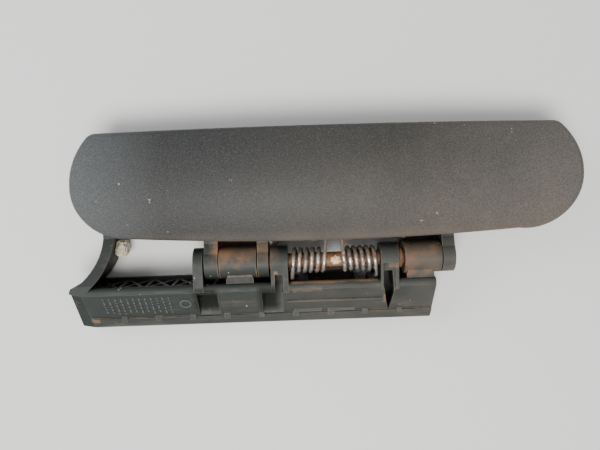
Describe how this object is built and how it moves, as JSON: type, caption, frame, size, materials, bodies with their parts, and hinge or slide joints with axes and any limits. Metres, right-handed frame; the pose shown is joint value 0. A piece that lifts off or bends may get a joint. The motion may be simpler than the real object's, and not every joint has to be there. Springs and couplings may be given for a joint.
{
  "type": "car door flap handle",
  "caption": "Exterior car door handle with a long crowned pull flap hinged on a pin in a ribbed frame bar, a double torsion return spring and a latch release lever behind",
  "frame": {"origin": "on the frame's flat back plane, midway between the two fixing inserts", "axes": "+X along the handle parallel to the hinge pin, towards the flap's overhanging end; +Y from the hinge to the flap's pull edge; +Z out of the door. The part lies on its back, so z=0 is its rest plane. On a car the hinge is most likely above the pull edge, so +Y then points down."},
  "size_m": [0.2042, 0.0808, 0.032],
  "materials": {
    "grained_plastic": "fine grained dark grey plastic, dusty and lightly scratched",
    "black_plastic": "moulded black plastic with tan road dust in the corners",
    "black_rubber": "matt black rubber",
    "cream_foam": "yellowed cream foam pad",
    "rusty_steel": "steel with brown rust",
    "spring_steel": "drawn spring steel, shiny with rust specks",
    "zinc_steel": "zinc plated steel",
    "brass_insert": "plain turned brass",
    "nylon": "natural nylon"
  },
  "bodies": {
    "frame": {"mounting_frame": "black_plastic", "fixing_inserts": "brass_insert", "foam_pad": "cream_foam", "stop_pad": "black_rubber", "hinge_pin": "rusty_steel", "pin_circlip": "rusty_steel", "thrust_washer": "rusty_steel", "return_spring": "spring_steel", "lever_pivot": "zinc_steel", "pivot_retainer": "spring_steel", "lever_spring": "spring_steel"},
    "flap": {"flap_cover": "grained_plastic", "flap_buffers": "black_rubber", "flap_carrier": "black_plastic", "collar_bushes": "nylon", "tail_cap": "nylon", "carrier_screws": "zinc_steel"},
    "release_lever": {"release_lever": "zinc_steel", "lever_bush": "nylon"},
    "rod_clip": {"rod_clip": "nylon"}
  },
  "joints": [
    {"name": "flap_hinge", "type": "hinge", "parent": "frame", "child": "flap", "pos_m": [0.007, -0.041, 0.016], "axis": [1, 0, 0], "range_deg": [0, 38], "stiffness_Nm_per_rad": 0.25, "springref_deg": -20.05, "deforming": ["return_spring"]},
    {"name": "lever_pivot", "type": "hinge", "parent": "frame", "child": "release_lever", "pos_m": [0.019, -0.027, 0.0045], "axis": [0, 0, 1], "range_deg": [-18.24, 0], "deforming": ["lever_spring"]},
    {"name": "rod_clip_swivel", "type": "hinge", "parent": "release_lever", "child": "rod_clip", "pos_m": [0.041, -0.025, 0.0045], "axis": [0, 0, 1], "range_deg": [-12, 28]}
  ],
  "couplings": [
    {"joint": "lever_pivot", "follows": "flap_hinge", "ratio": -0.48}
  ]
}
